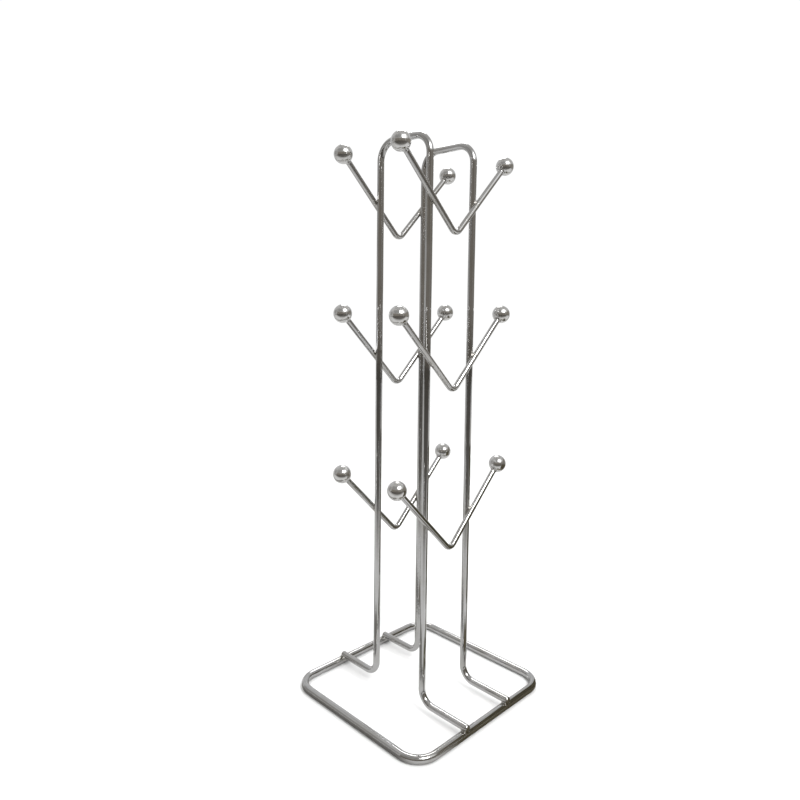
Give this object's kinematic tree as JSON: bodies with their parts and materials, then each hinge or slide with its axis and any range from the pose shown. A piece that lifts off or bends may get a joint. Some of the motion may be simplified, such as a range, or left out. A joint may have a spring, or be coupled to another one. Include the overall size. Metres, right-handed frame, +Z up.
{
  "type": "mug tree",
  "caption": "Free-standing wire rack on a rounded rectangular base, with tiers of V hooks ending in balls that hold mugs by their handles.",
  "frame": {"origin": "centre of the base, on the surface it stands on", "axes": "+Z up, +X along the arms towards the right arch, -Y towards the front, so the feet run along Y"},
  "size_m": [0.172, 0.162, 0.493],
  "materials": {
    "chrome_wire": "bright chrome plate on bent steel wire",
    "satin_ball": "satin chrome plate on steel balls"
  },
  "bodies": {
    "root": {"base_ring": "chrome_wire", "arch_left": "chrome_wire", "arch_right": "chrome_wire", "hook_front_bottom": "chrome_wire", "ball_front_bottom_left": "satin_ball", "ball_front_bottom_right": "satin_ball", "hook_back_bottom": "chrome_wire", "ball_back_bottom_left": "satin_ball", "ball_back_bottom_right": "satin_ball", "hook_front_middle": "chrome_wire", "ball_front_middle_left": "satin_ball", "ball_front_middle_right": "satin_ball", "hook_back_middle": "chrome_wire", "ball_back_middle_left": "satin_ball", "ball_back_middle_right": "satin_ball", "hook_front_top": "chrome_wire", "ball_front_top_left": "satin_ball", "ball_front_top_right": "satin_ball", "hook_back_top": "chrome_wire", "ball_back_top_left": "satin_ball", "ball_back_top_right": "satin_ball"}
  },
  "joints": []
}
